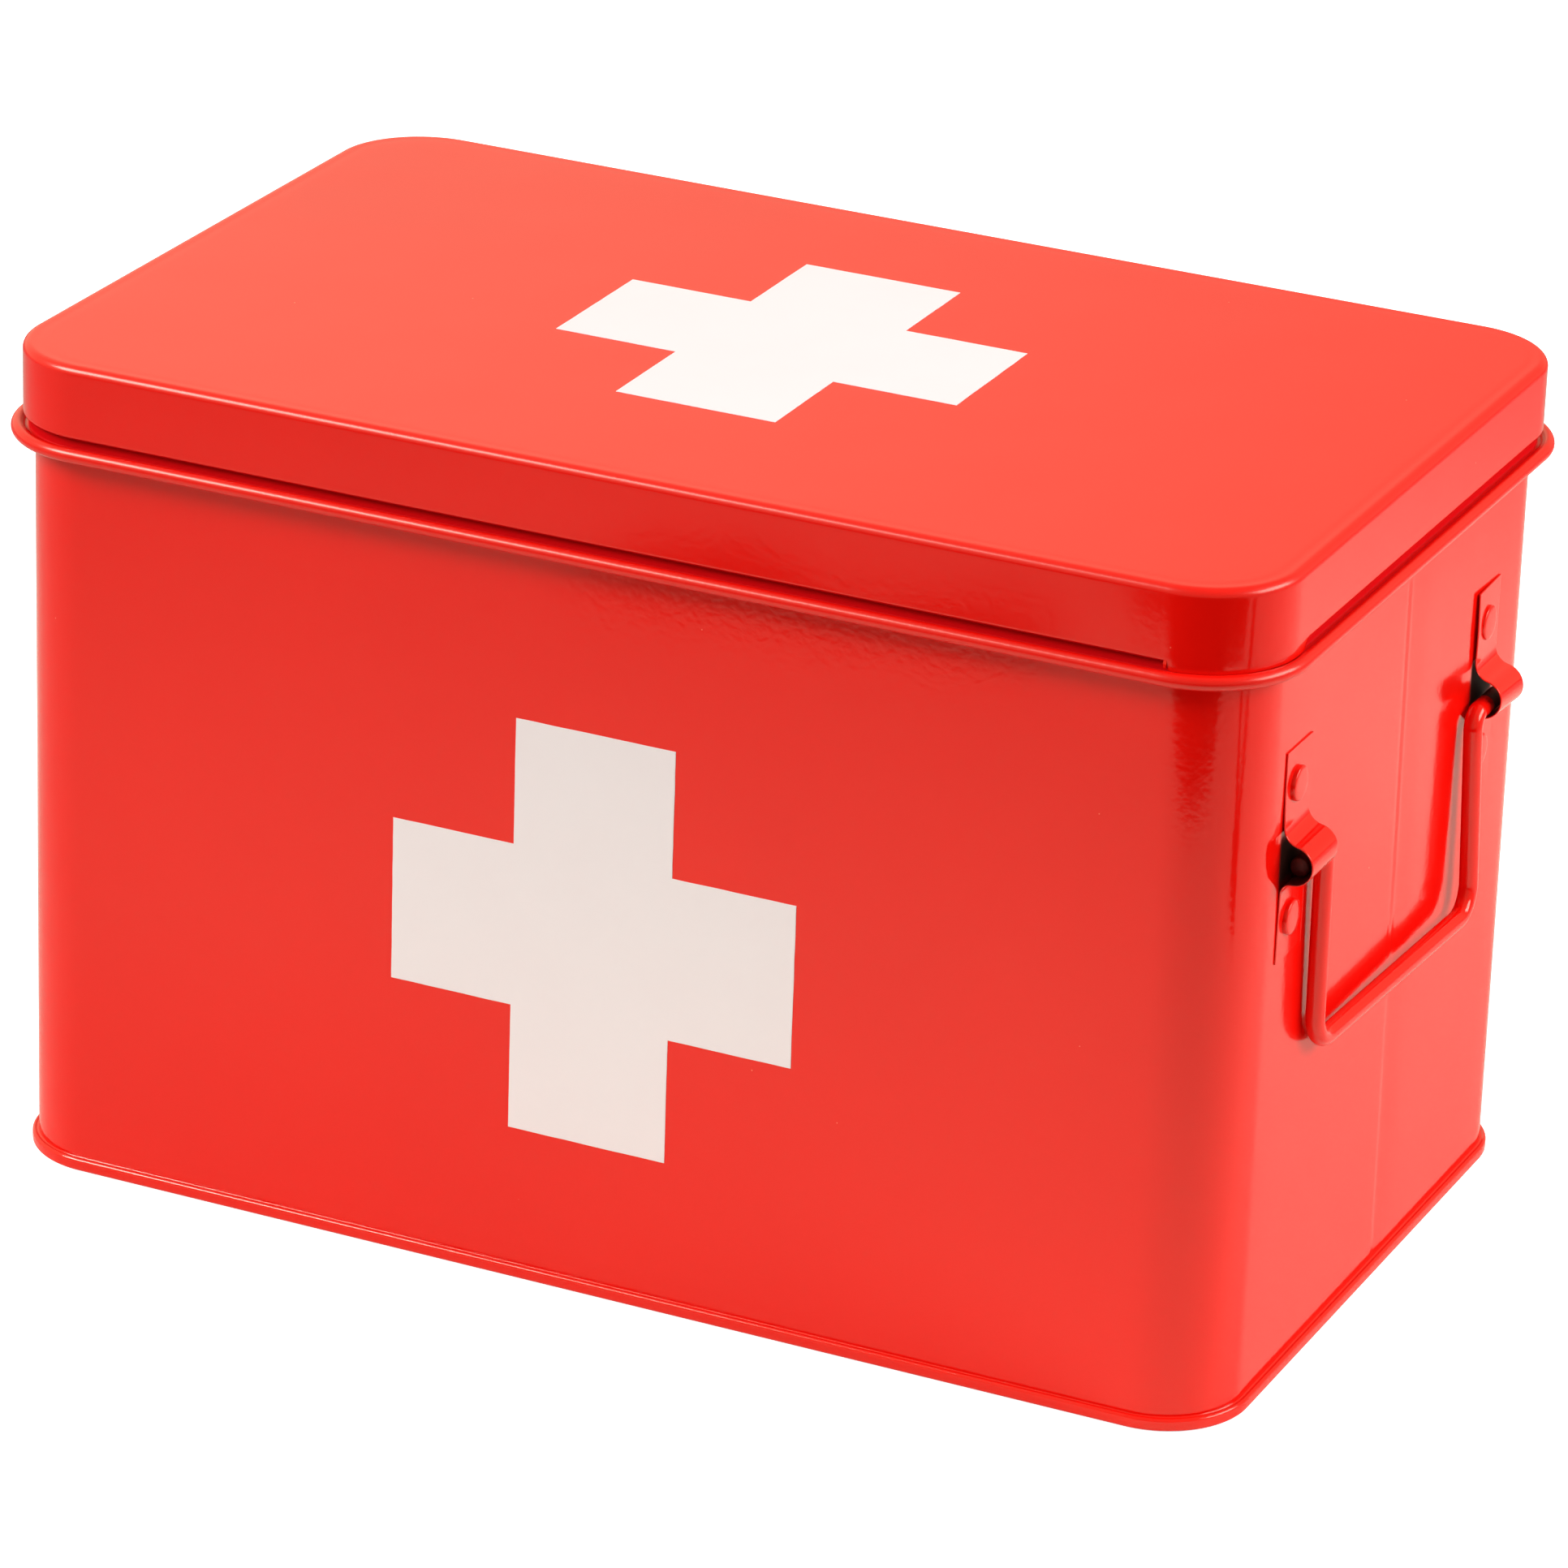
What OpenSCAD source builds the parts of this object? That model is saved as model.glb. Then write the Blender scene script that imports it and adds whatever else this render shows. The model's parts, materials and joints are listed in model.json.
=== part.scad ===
// Metal box with a lift-off lid and two drop handles.
// Frame: origin at the centre of the foot ring, +X to the right short side, -Y to the front, +Z up.
// Section profiles have two axes: x is the distance out of the body wall's outer face, y is the height.

/* [Body] */
// Width of the body over its short walls
body_w = 309.4; // [220:0.2:400]
// Depth of the body over its long walls
body_d = 187.8; // [170:0.2:300]
// Plan radius of the body's corners, at the wall's outer face
corner_r = 19.8; // [14:0.1:24]
// Thickness of the tinplate
sheet = 0.5; // [0.4:0.05:0.6]
// Height of the middle of the bead below the lid
bead_z = 182.1; // [172:0.1:260]
// How far the bead stands out of the wall
bead_out = 5.6; // [5:0.1:9]
// Radius of the bead's rolled edge
bead_r = 1.7; // [1.3:0.1:2.4]
// How far the neck above the bead stands out of the wall
neck_out = 1.2; // [0.8:0.1:1.4]
// Radius of the hemmed rim on top of the neck
rim_r = 0.8; // [0.7:0.05:1.1]

/* [Side seam] */
// Place of the lap seam on the right wall, from the wall's middle
seam_y = 5.5; // [-20:0.5:20]
// Width of the seam's upper lap
seam_w = 1.6; // [1:0.1:4]
// How far the seam's upper lap stands out of the wall
seam_out = 0.35; // [0.2:0.05:0.5]

/* [Base] */
// Height of the rolled foot ring
foot_h = 3.2; // [2.6:0.1:5]
// How far the foot ring stands out of the wall
foot_out = 1.6; // [1.2:0.1:3]
// Radius of the foot ring's outer edges
foot_r = 0.9; // [0.5:0.1:1.1]
// Thickness of the rolled metal under the wall
foot_under = 0.7; // [0.5:0.05:1]
// Play of the wall in the foot ring, on each side
foot_play = 0.03; // [0.01:0.01:0.1]
// Height of the base panel's underside above the ground
panel_z = 3.4; // [3:0.1:6]

/* [Lid] */
// Height of the lid, from its hem to its top
lid_h = 18.3; // [15:0.1:40]
// How far the lid's skirt stands out of the body wall
lid_out = 2.75; // [2.6:0.05:3.6]
// Gap between the lid's hem and the bead
lid_gap = 0.9; // [0.6:0.1:3]
// Radius of the edge round the lid's top
lid_edge_r = 2.0; // [1:0.1:3]
// Height of the hem turned up inside the skirt
hem_h = 5.0; // [3:0.1:9]
// Gap between the lid's top and the rim that it rests on
lid_seat = 0.3; // [0.1:0.05:0.6]
// How far the raw edge at the front right corner hangs below the hem
lip_drop = 1.0; // [0.3:0.1:1.1]

/* [Printed crosses] */
// Length of a cross over two opposite arms
cross_l = 101.7; // [60:0.1:150]
// Width of a cross's arms
cross_arm = 40; // [20:0.1:55]
// Thickness of the printed film
ink_t = 0.1; // [0.05:0.01:0.3]
// Place of the front cross to the right of the middle
front_cross_x = -1.5; // [-20:0.5:20]
// Height of the middle of the front cross
front_cross_z = 88.4; // [84:0.1:95]
// Place of the lid's cross to the right of the middle
lid_cross_x = -1; // [-20:0.5:20]
// Place of the lid's cross towards the back
lid_cross_y = 2.7; // [-8:0.1:8]

/* [Handle straps] */
// Height of the middle of the right front strap's loop
loop_z = 132.5; // [110:0.1:140]
// How much lower the right rear strap is riveted on than the right front one
strap_drop = 3.0; // [0:0.1:3.5]
// Height of a strap's middle above its loop's middle
strap_rise = 0.9; // [0:0.1:2]
// Distance between the two straps of a handle, middle to middle
strap_pitch = 118; // [100:0.5:120]
// Place of the right handle towards the back, from the middle of its wall
handle_y = -4.7; // [-6:0.1:6]
// Width of a strap
strap_w = 15.5; // [12:0.1:18]
// Length of a strap from end to end
strap_l = 50.4; // [46:0.1:60]
// Thickness of a strap
strap_t = 0.5; // [0.4:0.05:1.1]
// Inner radius of the loop that holds the handle
loop_r = 4.3; // [3.6:0.1:5]
// Distance of the loop's centre from the wall
loop_x = 3.0; // [2.8:0.1:4]
// Radius of the bend above the loop
bend_top = 4.0; // [2.2:0.1:5]
// Radius of the bend below the loop
bend_low = 2.4; // [2.2:0.1:5]

/* [Rivets] */
// Distance between a strap's two rivets
rivet_pitch = 32; // [30.5:0.1:36]
// Diameter of the rivet's shank
shank_d = 4.0; // [3:0.1:5]
// Play of the shank in its holes, all round
shank_play = 0.05; // [0.02:0.01:0.1]
// Diameter of the outer head
head_d = 8.4; // [7:0.1:9.5]
// Thickness of the outer head
head_t = 1.2; // [0.8:0.1:1.8]
// Width of the rounded edge of both heads
head_edge = 0.6; // [0.2:0.05:0.6]
// Diameter of the set head inside the box
set_d = 7.0; // [6:0.1:10]
// Thickness of the set head inside the box
set_t = 0.9; // [0.7:0.1:2]

/* [Handles] */
// Diameter of the handle's rod
rod_d = 4.5; // [3.5:0.1:4.8]
// Drop of the grip bar below the pivots
handle_drop = 49.7; // [35:0.1:54]
// Distance of the pivots from the wall
pivot_x = 3.4; // [3.2:0.1:3.8]
// Gap between the rod and the bottom of the loop
rod_seat = 0.3; // [0.25:0.05:0.6]
// Gap between a leg and the strap beside it
leg_gap = 2.4; // [1.2:0.05:3]
// Radius of the bend at the pivots, at the rod's middle
pivot_bend_r = 4.0; // [3.6:0.1:4.4]
// Radius of the bend at the grip bar, at the rod's middle
grip_bend_r = 7.5; // [4:0.1:12]
// Depth of the rod's end inside the strap's outer edge
end_inset = 5; // [1:0.5:7]

/* [Hidden] */
$fn = 72;
corner_fn = 96;                            // facets of a full turn at the plan's corners
red = "#e0231f";
white = "#f4f2f2";
past = 1;                                  // how far a cutter runs past what it cuts
joint_a = 0.5;                             // angle by which bends run into what they meet
wall_x = body_w / 2;
wall_y = body_d / 2;
bead_x = bead_out - bead_r;                // centre of the bead's roll
web_t = 2 * sheet;                         // the wall folded back on itself
hem_z = bead_z + bead_r + lid_gap;         // lowest edge of the lid
lid_top = hem_z + lid_h;
rim_z = lid_top - sheet - lid_seat;        // top of the neck
lid_arc_z = lid_top - lid_edge_r;
shank_hole_r = shank_d / 2 + shank_play;
rod_r = rod_d / 2;
loop_out_r = loop_r + strap_t;
pivot_off = pivot_x - loop_x;
pivot_z = loop_z - strap_drop / 2 - sqrt(pow(loop_r - rod_r - rod_seat, 2) - pow(pivot_off, 2));
axis_tilt = atan(strap_drop / strap_pitch);
leg_y = strap_pitch / 2 - strap_w / 2 - leg_gap - rod_r;   // from the handle's middle
end_y = strap_pitch / 2 + strap_w / 2 - end_inset;

// ---- Plan helpers ----

// Sweeps a section profile all round the body's plan.
module round_the_plan() {
    for (turn = [0:3]) {
        across = turn % 2 == 0 ? body_w : body_d;
        along = turn % 2 == 0 ? body_d : body_w;
        rotate(90 * turn) {
            translate([across / 2 - corner_r, along / 2 - corner_r, 0])
                corner_sweep() children();
            translate([across / 2, 0, 0])
                rotate([90, 0, 0])
                    linear_extrude(height = along - 2 * corner_r, center = true) children();
        }
    }
}

// Sweeps a section profile round one corner.
module corner_sweep() {
    rotate_extrude(angle = 90, $fn = corner_fn) translate([corner_r, 0]) children();
}

// The body's plan, grown by a distance on every side.
module plan(grow) {
    r = corner_r + grow;
    square([body_w - 2 * corner_r, body_d + 2 * grow], center = true);
    square([body_w + 2 * grow, body_d - 2 * corner_r], center = true);
    for (sx = [-1, 1], sy = [-1, 1])
        translate([sx * (wall_x - corner_r), sy * (wall_y - corner_r)])
            circle(r, $fn = corner_fn);
}

// A rectangle given by its limits.
module limits(x0, x1, y0, y1) {
    translate([x0, y0]) square([x1 - x0, y1 - y0]);
}

// A slice of a circle between two angles under 180 degrees apart.
module slice(from, to, r) {
    polygon([[0, 0], for (a = [from : (to - from) / 4 : to + 0.001]) r * [cos(a), sin(a)]]);
}

// ---- Body ----

module wall_section() {
    limits(-sheet, 0, foot_under, bead_z);
    limits(-sheet, bead_x - bead_r + sheet, bead_z - web_t / 2, bead_z + web_t / 2);
    translate([bead_x, bead_z]) difference() {
        circle(bead_r);
        circle(bead_r - sheet);
    }
    limits(neck_out - sheet, neck_out, bead_z, rim_z - rim_r);
    translate([neck_out - rim_r, rim_z - rim_r]) circle(rim_r);
}

module body_wall() {
    color(red) {
        difference() {
            round_the_plan() wall_section();
            for (side = [0, 1], end = [-1, 1], row = [-1, 1])
                rivet_place(side, end, row)
                    translate([0, 0, -sheet - past])
                        cylinder(r = shank_hole_r, h = sheet + 2 * past);
        }
        translate([wall_x - sheet / 2, seam_y - seam_w / 2, foot_h])
            cube([sheet / 2 + seam_out, seam_w, bead_z - foot_h]);
    }
}

// ---- Base ----

// The rolled foot ring: a groove that takes the wall's lower edge, with rounded outer corners.
module foot_section() {
    inner = -2 * sheet - foot_play;
    difference() {
        union() {
            limits(inner, foot_out - foot_r, 0, foot_h);
            limits(inner, foot_out, foot_r, foot_h - foot_r);
            for (z = [foot_r, foot_h - foot_r]) translate([foot_out - foot_r, z]) circle(foot_r);
        }
        limits(-sheet - foot_play, foot_play, foot_under, foot_h + past);
    }
    limits(inner, inner + sheet, foot_h - sheet, panel_z + sheet);
}

module base_panel() {
    color(red) {
        round_the_plan() foot_section();
        translate([0, 0, panel_z])
            linear_extrude(height = sheet) plan(-sheet - foot_play);
    }
}

// ---- Lid ----

module lid_section() {
    limits(lid_out - sheet, lid_out, hem_z + sheet, lid_arc_z);
    limits(lid_out - 2 * sheet, lid_out, hem_z + sheet, hem_z + hem_h);
    translate([lid_out - sheet, hem_z + sheet]) circle(sheet);
    translate([lid_out - lid_edge_r, lid_arc_z])
        intersection() {
            difference() {
                circle(lid_edge_r);
                circle(lid_edge_r - sheet);
            }
            limits(0, lid_edge_r, 0, lid_edge_r);
        }
}

// The raw edge of the corner that the hem stops short of.
module lip_section() {
    limits(lid_out - sheet, lid_out, hem_z - lip_drop, hem_z + hem_h);
}

module lid() {
    color(red) {
        round_the_plan() lid_section();
        translate([0, 0, lid_top - sheet])
            linear_extrude(height = sheet) plan(lid_out - lid_edge_r);
        translate([wall_x - corner_r, corner_r - wall_y, 0])
            rotate(-90) corner_sweep() lip_section();
    }
}

// ---- Printed crosses ----

module cross_film() {
    linear_extrude(height = ink_t) {
        square([cross_l, cross_arm], center = true);
        square([cross_arm, cross_l], center = true);
    }
}

module front_cross() {
    color(white)
        translate([front_cross_x, -wall_y, front_cross_z]) rotate([90, 0, 0]) cross_film();
}

module lid_cross() {
    color(white) translate([lid_cross_x, lid_cross_y, lid_top]) cross_film();
}

// ---- Straps ----

// Puts a piece drawn for the right wall (x out of the wall, y towards the back) on a side. The left
// side's pieces are the right side's, half a turn on.
module side_place(side) {
    rotate(180 * side) translate([wall_x, handle_y, 0]) children();
}

// Height of the middle of a loop: end is -1 or 1, the front and rear of the right wall.
function strap_z(end) = loop_z - strap_drop * (end + 1) / 2;

// Height above the loop's centre at which a bend of radius r meets the wall.
function bend_rise(r) = sqrt(pow(loop_out_r + r, 2) - pow(strap_t + r - loop_x, 2));

// Half of a strap's section, above the loop's centre: half the loop, the bend to the wall, the tab.
module strap_half_section(r, tab_end) {
    bend_x = strap_t + r - loop_x;
    rise = bend_rise(r);
    tangent = atan2(rise, bend_x);
    intersection() {
        difference() {
            circle(loop_out_r);
            circle(loop_r);
        }
        slice(-joint_a, tangent + joint_a, 2 * loop_out_r);
    }
    translate([bend_x, rise])
        intersection() {
            difference() {
                circle(r + strap_t);
                circle(r);
            }
            slice(180 - joint_a, 180 + tangent, 2 * (r + strap_t));
        }
    limits(-loop_x, strap_t - loop_x, rise, tab_end);
}

// Height of a rivet: row is -1 below the loop and 1 above it.
function rivet_z(end, row) = strap_z(end) + strap_rise + row * rivet_pitch / 2;

module strap(side, end) {
    color(red)
        side_place(side)
            difference() {
                translate([loop_x, end * strap_pitch / 2, strap_z(end)])
                    rotate([90, 0, 0])
                        linear_extrude(height = strap_w, center = true) {
                            strap_half_section(bend_top, strap_l / 2 + strap_rise);
                            mirror([0, 1]) strap_half_section(bend_low, strap_l / 2 - strap_rise);
                        }
                for (row = [-1, 1])
                    translate([-past, end * strap_pitch / 2, rivet_z(end, row)])
                        rotate([0, 90, 0]) cylinder(r = shank_hole_r, h = strap_t + 2 * past);
            }
}

module right_front_strap() strap(0, -1);
module right_rear_strap() strap(0, 1);
module left_front_strap() strap(1, 1);
module left_rear_strap() strap(1, -1);

// ---- Rivets ----

// The frame of one rivet: +Z out of the wall, z = 0 on the wall's outer face.
module rivet_place(side, end, row) {
    side_place(side)
        translate([0, end * strap_pitch / 2, rivet_z(end, row)]) rotate([0, 90, 0]) children();
}

// A head with a rounded edge, standing on z = 0.
module rivet_head(d, t) {
    rotate_extrude() {
        square([d / 2 - head_edge, t]);
        square([d / 2, t - head_edge]);
        intersection() {
            translate([d / 2 - head_edge, t - head_edge]) circle(head_edge);
            square([d / 2, t]);
        }
    }
}

module rivet(side, end, row) {
    color(red)
        rivet_place(side, end, row) {
            translate([0, 0, strap_t]) rivet_head(head_d, head_t);
            translate([0, 0, -sheet]) cylinder(d = shank_d, h = sheet + strap_t);
            translate([0, 0, -sheet]) mirror([0, 0, 1]) rivet_head(set_d, set_t);
        }
}

module right_front_upper_rivet() rivet(0, -1, 1);
module right_front_lower_rivet() rivet(0, -1, -1);
module right_rear_upper_rivet() rivet(0, 1, 1);
module right_rear_lower_rivet() rivet(0, 1, -1);
module left_front_upper_rivet() rivet(1, 1, 1);
module left_front_lower_rivet() rivet(1, 1, -1);
module left_rear_upper_rivet() rivet(1, -1, 1);
module left_rear_lower_rivet() rivet(1, -1, -1);

// ---- Handles ----

// A quarter bend of the rod about the X axis, centred on the origin, from -Y round to +Z.
module rod_bend(r) {
    rotate([90, 0, -90]) rotate_extrude(angle = 90) translate([r, 0]) circle(rod_r);
}

// A straight length of the rod along +Y.
module rod_along_y(length) {
    rotate([-90, 0, 0]) cylinder(r = rod_r, h = length);
}

// One end of a handle that hangs from the origin: the end in the loop, the leg and the bend to the
// grip bar.
module handle_end() {
    leg_top = -pivot_bend_r;
    leg_low = grip_bend_r - handle_drop;
    translate([0, leg_y + pivot_bend_r, 0]) rod_along_y(end_y - leg_y - pivot_bend_r);
    translate([0, leg_y + pivot_bend_r, leg_top]) rod_bend(pivot_bend_r);
    translate([0, leg_y, leg_low]) cylinder(r = rod_r, h = leg_top - leg_low);
    translate([0, leg_y - grip_bend_r, leg_low]) rotate([180, 0, 0]) rod_bend(grip_bend_r);
}

module handle(side) {
    grip_l = 2 * (leg_y - grip_bend_r);
    color(red)
        side_place(side) translate([pivot_x, 0, pivot_z]) rotate([-axis_tilt, 0, 0]) {
            handle_end();
            mirror([0, 1, 0]) handle_end();
            translate([0, -grip_l / 2, -handle_drop]) rod_along_y(grip_l);
        }
}

module right_handle() handle(0);
module left_handle() handle(1);

body_wall();
base_panel();
lid();
front_cross();
lid_cross();
right_front_strap();
right_rear_strap();
left_front_strap();
left_rear_strap();
right_front_upper_rivet();
right_front_lower_rivet();
right_rear_upper_rivet();
right_rear_lower_rivet();
left_front_upper_rivet();
left_front_lower_rivet();
left_rear_upper_rivet();
left_rear_lower_rivet();
right_handle();
left_handle();
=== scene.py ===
import json
import math
import bpy
from mathutils import Matrix, Vector, noise


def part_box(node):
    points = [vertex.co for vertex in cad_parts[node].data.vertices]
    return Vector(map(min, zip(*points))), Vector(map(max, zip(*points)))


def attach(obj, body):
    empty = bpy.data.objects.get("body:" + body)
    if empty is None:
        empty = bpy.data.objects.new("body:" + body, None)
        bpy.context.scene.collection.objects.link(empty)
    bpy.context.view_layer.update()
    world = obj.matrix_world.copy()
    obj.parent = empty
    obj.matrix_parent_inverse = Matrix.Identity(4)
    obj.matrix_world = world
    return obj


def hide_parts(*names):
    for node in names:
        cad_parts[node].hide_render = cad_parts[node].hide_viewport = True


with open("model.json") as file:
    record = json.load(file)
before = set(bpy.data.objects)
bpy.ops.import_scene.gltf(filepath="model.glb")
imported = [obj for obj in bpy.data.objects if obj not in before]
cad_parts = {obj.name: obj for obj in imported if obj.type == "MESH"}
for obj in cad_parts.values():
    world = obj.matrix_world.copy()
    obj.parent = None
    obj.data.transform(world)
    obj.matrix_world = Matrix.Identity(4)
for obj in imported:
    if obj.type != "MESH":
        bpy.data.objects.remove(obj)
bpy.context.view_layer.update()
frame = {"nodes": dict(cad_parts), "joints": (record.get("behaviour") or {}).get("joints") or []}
scene = bpy.context.scene
scene.view_settings.view_transform = "Standard"

# ---- Studio ----
# A table of white paper in a white room, with a soft lamp high on the left of the front and two
# on the right. The room beyond the table is dark, and black cards just over the paper stand for
# it: they darken what the coat mirrors and the light off the table, and are out of sight.


def linear(hex_code):
    """An sRGB hex colour as the linear values that Blender takes."""
    parts = [int(hex_code[i:i + 2], 16) / 255 for i in (1, 3, 5)]
    return [c / 12.92 if c <= 0.04045 else ((c + 0.055) / 1.055) ** 2.4 for c in parts] + [1]


def add(tree, kind, settings=None, **inputs):
    """Adds a node: settings name its own options, inputs name its sockets, in0 being the first."""
    node = tree.nodes.new(kind)
    for name, value in (settings or {}).items():
        setattr(node, name, value)
    for name, value in inputs.items():
        socket = node.inputs[int(name[2:]) if name[2:].isdigit() else name.replace("_", " ")]
        if isinstance(value, bpy.types.NodeSocket):
            tree.links.new(value, socket)
        else:
            socket.default_value = value
    return node


def new_material(name):
    """A material with an empty node tree, and that tree."""
    material = bpy.data.materials.new(name)
    material.use_nodes = True
    material.node_tree.nodes.clear()
    return material, material.node_tree


world = bpy.data.worlds.new("white_studio")
scene.world = world
world.use_nodes = True
tree = world.node_tree
tree.nodes.clear()
rays = add(tree, "ShaderNodeLightPath")
seen = add(tree, "ShaderNodeMath", {"operation": "MAXIMUM"},
           in0=rays.outputs["Is Camera Ray"], in1=rays.outputs["Is Glossy Ray"])
seen = add(tree, "ShaderNodeMath", {"operation": "MAXIMUM"},
           in0=seen.outputs[0], in1=rays.outputs["Is Transmission Ray"])
room_fill, room_white = 0.22, 1.0
# the wall behind falls off to the right, as gloss sees it; the camera sees it white all over
place = add(tree, "ShaderNodeTexCoord").outputs["Generated"]
across = add(tree, "ShaderNodeSeparateXYZ", Vector=place).outputs["X"]
wall_tone = add(tree, "ShaderNodeMapRange", Value=across, From_Min=-0.46, From_Max=-0.28,
                To_Min=1.10, To_Max=0.52)
wall_tone = add(tree, "ShaderNodeMix", in0=rays.outputs["Is Camera Ray"],
                in2=wall_tone.outputs[0], in3=room_white)
strength = add(tree, "ShaderNodeMix", in0=seen.outputs[0], in2=room_fill, in3=wall_tone.outputs[0])
paint = add(tree, "ShaderNodeMix", {"data_type": "RGBA"}, in0=rays.outputs["Is Glossy Ray"],
            in6=linear("#ffffff"), in7=linear("#fff5d1"))
sky = add(tree, "ShaderNodeBackground", Color=paint.outputs[2], Strength=strength.outputs[0])
add(tree, "ShaderNodeOutputWorld", Surface=sky.outputs[0])


def flat_card(name, corners, material):
    """A flat sheet that belongs to the studio and not to the part."""
    mesh = bpy.data.meshes.new(name)
    mesh.from_pydata(corners, [], [tuple(range(len(corners)))])
    mesh.materials.append(material)
    card = bpy.data.objects.new(name, mesh)
    scene.collection.objects.link(card)
    return card


# the paper takes the shadow and is lifted to white for the camera only; its colour greys away from
# the box, a painted falloff of the lamps' light
paper, tree = new_material("matt_white_paper_roll")
place = add(tree, "ShaderNodeTexCoord").outputs["Object"]
reach = add(tree, "ShaderNodeVectorMath", {"operation": "LENGTH"}, in0=place)
fade = add(tree, "ShaderNodeMapRange", Value=reach.outputs["Value"], From_Min=0.30, From_Max=0.72)
painted_falloff_tone = add(tree, "ShaderNodeMix", {"data_type": "RGBA"}, in0=fade.outputs[0],
           in6=linear("#f3eddb"), in7=linear("#a19e94"))
lit = add(tree, "ShaderNodeBsdfDiffuse", Color=painted_falloff_tone.outputs[2])
rays = add(tree, "ShaderNodeLightPath")
white = add(tree, "ShaderNodeBsdfDiffuse", Color=linear("#ffffff"))
lift = add(tree, "ShaderNodeEmission", Color=linear("#ffffff"), Strength=0.60)
lifted = add(tree, "ShaderNodeAddShader", in0=white.outputs[0], in1=lift.outputs[0])
sheet = add(tree, "ShaderNodeMixShader", Fac=rays.outputs["Is Camera Ray"],
            in1=lit.outputs[0], in2=lifted.outputs[0])
add(tree, "ShaderNodeOutputMaterial", Surface=sheet.outputs[0])
far = 6.0
flat_card("paper_floor", [(-far, -far, 0), (far, -far, 0), (far, far, 0), (-far, far, 0)], paper)

flock, tree = new_material("black_flock_card")
dark = add(tree, "ShaderNodeBsdfDiffuse", Color=linear("#050505"))
add(tree, "ShaderNodeOutputMaterial", Surface=dark.outputs[0])
# the table's near edge, with the dark room beyond it
edge = [(-0.9, -0.95), (-0.35, -0.75), (-0.080, -0.66), (-0.068, -0.575), (-0.05, -0.552),
        (0.0, -0.545), (0.04, -0.528), (0.06, -0.508), (0.13, -0.476), (0.23, -0.435),
        (0.30, -0.415), (0.37, -0.39), (0.41, -0.368), (0.45, -0.378), (0.495, -0.365),
        (0.545, -0.305), (0.58, -0.26), (0.64, -0.245), (1.5, -0.66), (1.5, -2.5), (-1.5, -2.5)]
# a lamp stand's two legs on the right, and another stand's foot on the left
leg_a = [(0.435, -0.165), (0.50, -0.170), (0.56, -0.205), (0.68, -0.205), (0.68, -0.165),
         (0.56, -0.180), (0.50, -0.140), (0.435, -0.135)]
leg_b = [(0.42, -0.135), (0.50, -0.145), (0.585, -0.130), (0.585, -0.100), (0.50, -0.118),
         (0.42, -0.105)]
dark_foot = [(-0.215, -0.498), (-0.20, -0.530), (-0.175, -0.545), (-0.13, -0.530), (-0.10, -0.545),
             (-0.072, -0.540), (-0.065, -0.505), (-0.13, -0.492)]
# a black flag behind on the left, which draws a thin dark line down the box's left side
flag = [(-0.20, 0.05), (-0.16, 0.14), (-0.40, 1.20), (-0.95, 0.85)]
over_paper = 0.001
for name, corners in (("dark_room", edge), ("stand_foot", dark_foot), ("stand_leg_a", leg_a),
                      ("stand_leg_b", leg_b), ("dark_flag", flag)):
    card = flat_card(name, [(x, y, over_paper) for x, y in corners], flock)
    card.visible_camera = card.visible_shadow = False
    card.visible_diffuse = name != "dark_flag"


def direction(turn, rise):
    """The way out from the box, so many degrees round from the front to the right, and up."""
    turn, rise = math.radians(turn), math.radians(rise)
    return Vector((math.sin(turn) * math.cos(rise), -math.cos(turn) * math.cos(rise),
                   math.sin(rise)))


def soft_lamp(name, turn, rise, away, wide, tall, watts, shows=True):
    """A soft lamp that faces the middle of the box. Gloss mirrors it if it shows."""
    lamp = bpy.data.lights.new(name, "AREA")
    lamp.shape, lamp.size, lamp.size_y, lamp.energy = "RECTANGLE", wide, tall, watts
    out, box_middle = direction(turn, rise), Vector((0, 0, 0.1))
    holder = bpy.data.objects.new(name, lamp)
    holder.matrix_world = (Matrix.Translation(box_middle + out * away)
                           @ out.to_track_quat("Z", "Y").to_matrix().to_4x4())
    holder.visible_glossy = shows
    scene.collection.objects.link(holder)


soft_lamp("left_front_softbox", -47, 39, 2.8, 1.1, 1.1, 73)
soft_lamp("right_softbox", 104, 28, 2.4, 1.8, 1.0, 45)
soft_lamp("right_low_softbox", 112, 38, 0.9, 0.5, 0.5, 2.4, shows=False)

# The camera stands 1.83 m off, 24.6 degrees round from the front to the right and 22.9 degrees
# up, and leans 2 degrees.
turn, rise, lean = 24.588, 22.893, math.radians(1.990)
back, level = direction(turn, rise), direction(turn + 90, 0)
upright = back.cross(level)
right = math.cos(lean) * level + math.sin(lean) * upright
up = math.cos(lean) * upright - math.sin(lean) * level
lens = bpy.data.cameras.new("studio_camera")
lens.sensor_width, lens.lens, lens.clip_start, lens.clip_end = 36.0, 178.10, 0.1, 30.0
camera = bpy.data.objects.new("studio_camera", lens)
camera.matrix_world = (Matrix.Translation((0.70476, -1.53518, 0.80641))
                       @ Matrix((right, up, back)).transposed().to_4x4())
scene.collection.objects.link(camera)
scene.camera = camera

# ---- Body wall ----
# One strip of 0.5 mm tinplate, bent round four corners and lapped on the right side. A bead is
# rolled out of it below the lid, and the neck above the bead takes the lid.


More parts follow.
